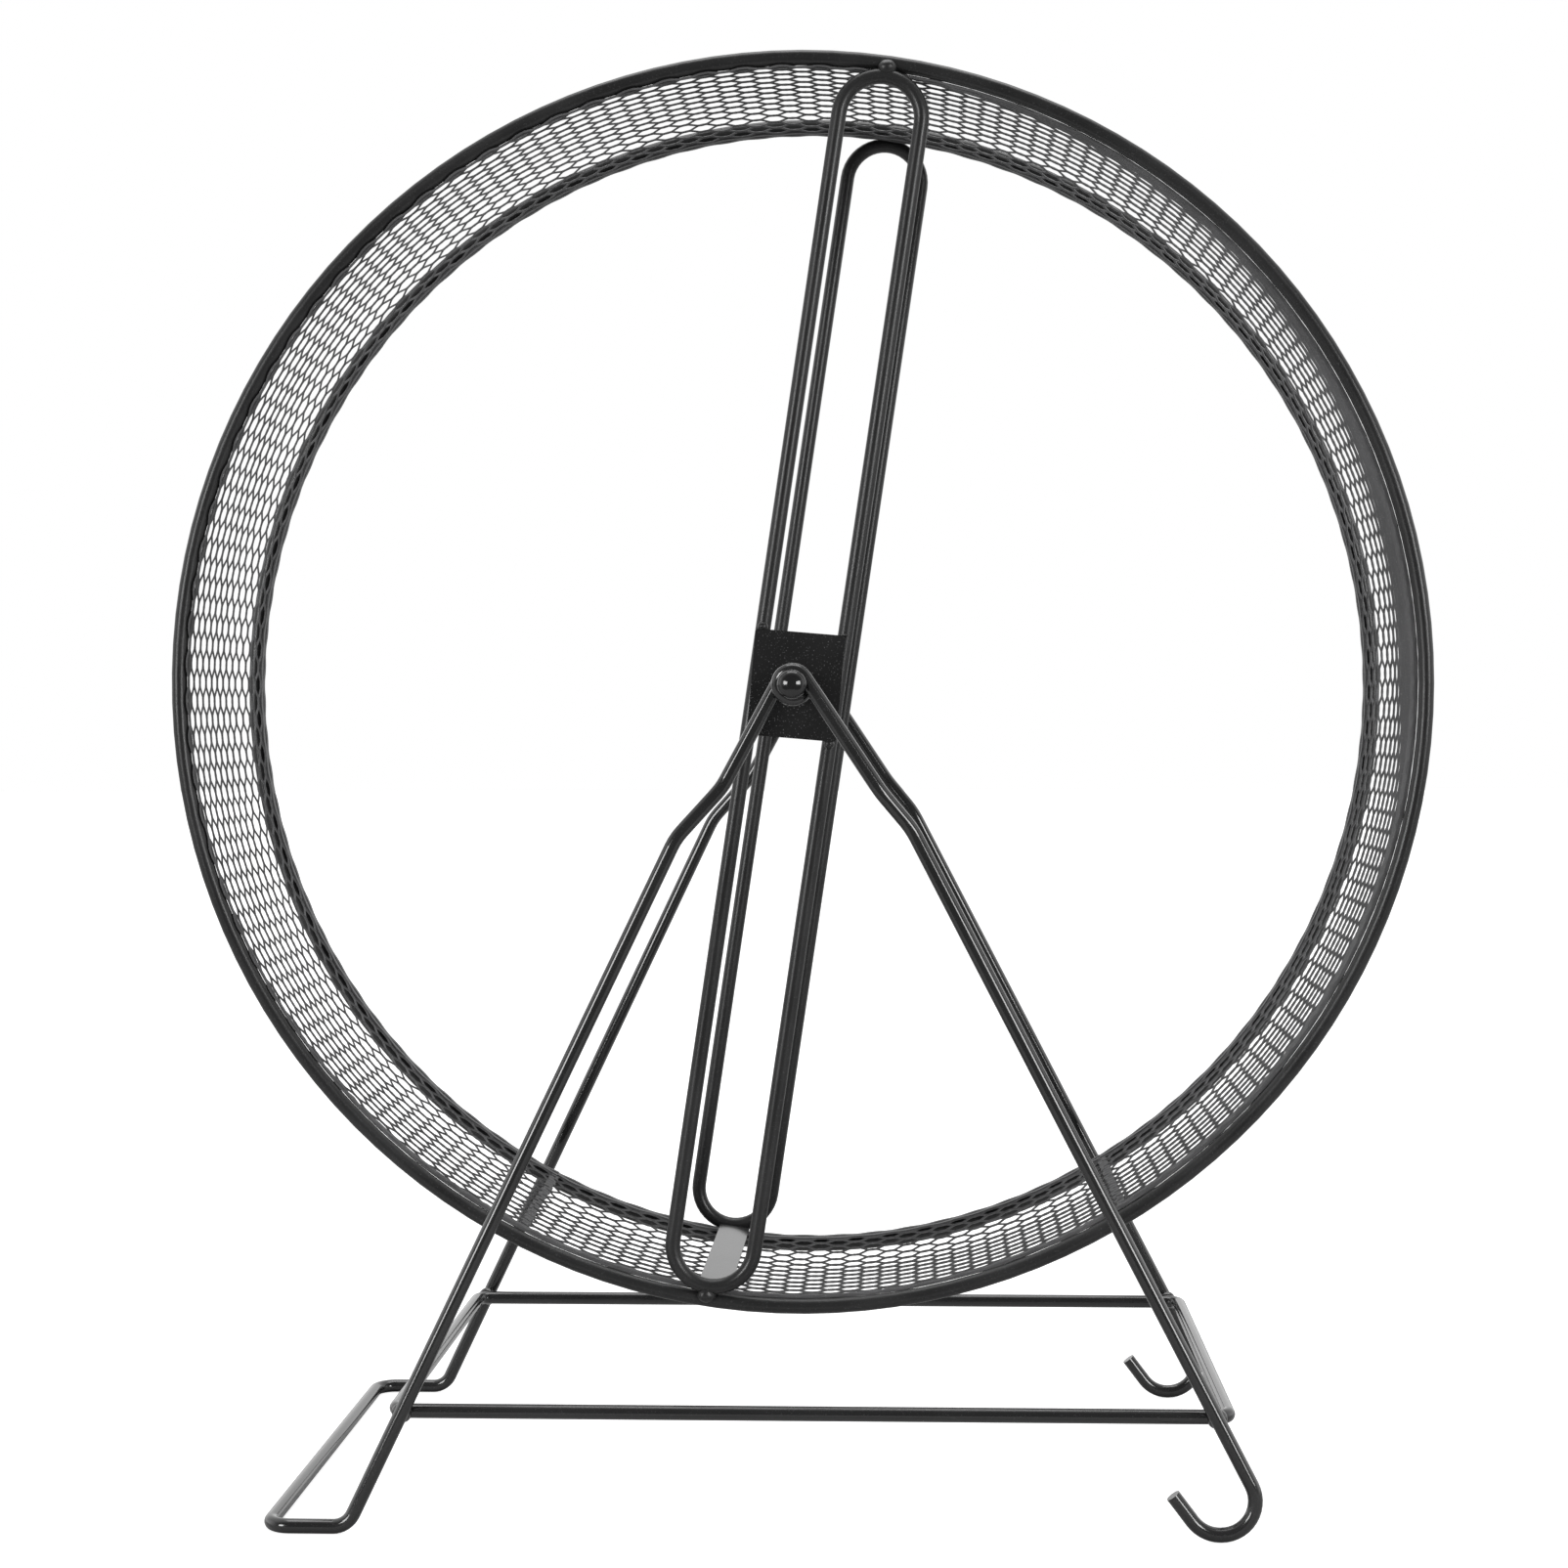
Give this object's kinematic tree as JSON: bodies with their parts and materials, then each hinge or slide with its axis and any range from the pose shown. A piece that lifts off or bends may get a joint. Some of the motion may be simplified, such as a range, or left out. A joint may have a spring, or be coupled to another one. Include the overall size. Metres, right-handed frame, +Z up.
{
  "type": "hamster wheel",
  "caption": "Free-standing wire hamster wheel: a rolled mesh drum on long spoke loops turns on axle pins in a bent-wire stand with a ground foot and cage hooks.",
  "frame": {"origin": "on the ground, straight below the middle of the axle", "axes": "+X towards the hooks, +Y along the axle to the rear, +Z up"},
  "size_m": [0.29, 0.1362, 0.334],
  "materials": {
    "wire_coat": "gloss black powder coat on steel wire",
    "mesh_coat": "black powder coat on expanded steel sheet",
    "plate_coat": "gloss black powder coat on steel sheet",
    "pin_coat": "smooth gloss black on the domed steel pins and their sleeves"
  },
  "bodies": {
    "stand": {"stand_wire": "wire_coat", "base_brace": "wire_coat", "front_left_brace_weld": "wire_coat", "front_right_brace_weld": "wire_coat", "rear_left_brace_weld": "wire_coat", "rear_right_brace_weld": "wire_coat"},
    "wheel": {"front_rim": "wire_coat", "rear_rim": "wire_coat", "front_loop": "wire_coat", "rear_loop": "wire_coat", "front_top_loop_weld": "wire_coat", "front_bottom_loop_weld": "wire_coat", "rear_top_loop_weld": "wire_coat", "rear_bottom_loop_weld": "wire_coat", "running_mesh": "mesh_coat", "mesh_patch": "mesh_coat", "seam_strip": "plate_coat", "front_hub_plate": "plate_coat", "rear_hub_plate": "plate_coat", "front_plate_welds": "plate_coat", "rear_plate_welds": "plate_coat", "front_pin": "pin_coat", "rear_pin": "pin_coat", "front_spacer": "pin_coat", "rear_spacer": "pin_coat"}
  },
  "joints": [
    {"name": "wheel_spin", "type": "hinge", "parent": "stand", "child": "wheel", "pos_m": [0, 0, 0.189], "axis": [0, 1, 0], "continuous": true}
  ]
}
